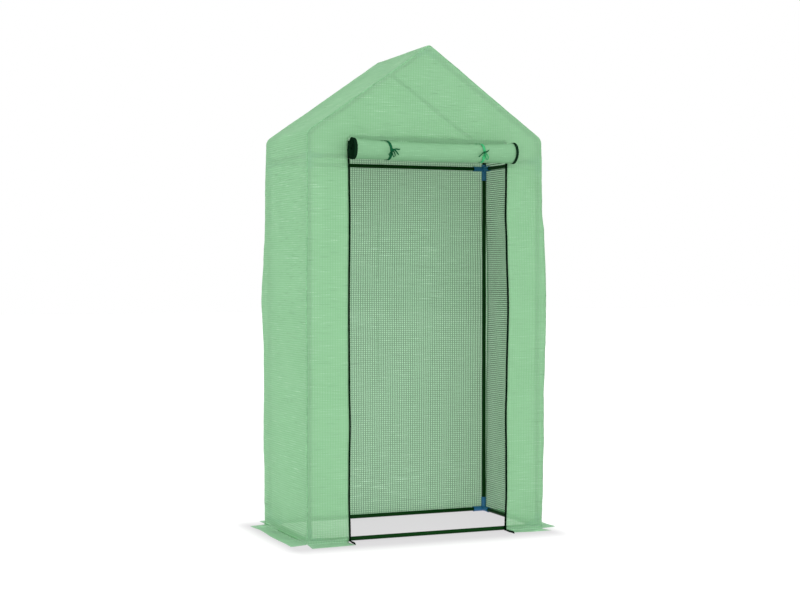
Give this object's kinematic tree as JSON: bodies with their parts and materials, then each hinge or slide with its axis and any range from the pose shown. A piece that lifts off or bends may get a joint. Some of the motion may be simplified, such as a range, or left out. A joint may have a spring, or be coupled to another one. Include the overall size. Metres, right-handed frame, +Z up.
{
  "type": "lean garden greenhouse",
  "caption": "Tall narrow garden greenhouse: push-fit steel tube frame with plastic corner sockets, woven mesh cover with ground skirts, and a zipped door rolled up and tied.",
  "frame": {"origin": "on the ground under the middle of the frame and cover", "axes": "+X to the right as seen from the front, +Y to the back, +Z up; the doorway faces -Y"},
  "size_m": [1.1606, 0.6956, 1.9233],
  "materials": {
    "steel": "glossy dark green powder coat",
    "socket": "moulded blue plastic with a soft sheen",
    "cover": "light green woven sheet with a square reinforcing grid, slightly see-through",
    "zip": "black woven zip tape with moulded teeth",
    "slider": "black enamel",
    "ribbon": "green woven ribbon"
  },
  "bodies": {
    "frame_and_cover": {"base_tube_front": "steel", "base_tube_back": "steel", "base_tube_left": "steel", "base_tube_right": "steel", "lower_post_front_left": "steel", "lower_post_front_right": "steel", "lower_post_back_left": "steel", "lower_post_back_right": "steel", "upper_post_front_left": "steel", "upper_post_front_right": "steel", "upper_post_back_left": "steel", "upper_post_back_right": "steel", "eave_rail_front": "steel", "eave_rail_back": "steel", "eave_rail_left": "steel", "eave_rail_right": "steel", "rafter_front_left": "steel", "rafter_front_right": "steel", "rafter_back_left": "steel", "rafter_back_right": "steel", "ridge_tube": "steel", "base_connector_front_left": "socket", "base_connector_front_right": "socket", "base_connector_back_left": "socket", "base_connector_back_right": "socket", "eave_connector_front_left": "socket", "eave_connector_front_right": "socket", "eave_connector_back_left": "socket", "eave_connector_back_right": "socket", "ridge_connector_front": "socket", "ridge_connector_back": "socket", "cover_front": "cover", "cover_back": "cover", "cover_wall_left": "cover", "cover_wall_right": "cover", "cover_roof_left": "cover", "cover_roof_right": "cover", "zip_tape_left": "zip", "zip_tape_right": "zip", "tie_left": "ribbon", "tie_right": "ribbon"},
    "door_panel": {"door_curtain": "cover"},
    "rolled_door": {"door_roll": "cover"},
    "left_slider": {"zip_slider_left": "slider"},
    "left_pull": {"zip_pull_left": "slider"},
    "right_slider": {"zip_slider_right": "slider"},
    "right_pull": {"zip_pull_right": "slider"},
    "left_skirt": {"skirt_left": "cover"},
    "right_skirt": {"skirt_right": "cover"},
    "back_skirt": {"skirt_back": "cover"},
    "front_left_skirt": {"skirt_front_left": "cover"},
    "front_right_skirt": {"skirt_front_right": "cover"}
  },
  "joints": [
    {"name": "door_drop", "type": "slide", "parent": "frame_and_cover", "child": "door_panel", "axis": [0, 0, -1], "range_m": [0, 1.46], "deforming": ["door_curtain", "tie_left", "tie_right"]},
    {"name": "door_spin", "type": "hinge", "parent": "door_panel", "child": "rolled_door", "pos_m": [0.006, -0.304, 1.513], "axis": [1, 0, 0], "range_deg": [0, 2160]},
    {"name": "left_zip", "type": "slide", "parent": "frame_and_cover", "child": "left_slider", "axis": [0, 0, -1], "range_m": [0, 1.355]},
    {"name": "left_pull_swing", "type": "hinge", "parent": "left_slider", "child": "left_pull", "pos_m": [-0.332, -0.2694, 1.494], "axis": [-1, 0, 0], "range_deg": [0, 30]},
    {"name": "right_zip", "type": "slide", "parent": "frame_and_cover", "child": "right_slider", "axis": [0, 0, -1], "range_m": [0, 1.355]},
    {"name": "right_pull_swing", "type": "hinge", "parent": "right_slider", "child": "right_pull", "pos_m": [0.344, -0.2694, 1.494], "axis": [-1, 0, 0], "range_deg": [0, 30]},
    {"name": "left_skirt_fold", "type": "hinge", "parent": "frame_and_cover", "child": "left_skirt", "pos_m": [-0.5003, 0, 0.0012], "axis": [0, 1, 0], "range_deg": [0, 90]},
    {"name": "right_skirt_fold", "type": "hinge", "parent": "frame_and_cover", "child": "right_skirt", "pos_m": [0.5003, 0, 0.0012], "axis": [0, -1, 0], "range_deg": [0, 90]},
    {"name": "back_skirt_fold", "type": "hinge", "parent": "frame_and_cover", "child": "back_skirt", "pos_m": [0, 0.2603, 0.0012], "axis": [1, 0, 0], "range_deg": [0, 90]},
    {"name": "front_left_skirt_fold", "type": "hinge", "parent": "frame_and_cover", "child": "front_left_skirt", "pos_m": [-0.418, -0.2603, 0.0012], "axis": [-1, 0, 0], "range_deg": [0, 90]},
    {"name": "front_right_skirt_fold", "type": "hinge", "parent": "frame_and_cover", "child": "front_right_skirt", "pos_m": [0.425, -0.2603, 0.0012], "axis": [-1, 0, 0], "range_deg": [0, 90]}
  ],
  "couplings": [
    {"joint": "door_spin", "follows": "door_drop", "rad_per_m": 25.821}
  ]
}
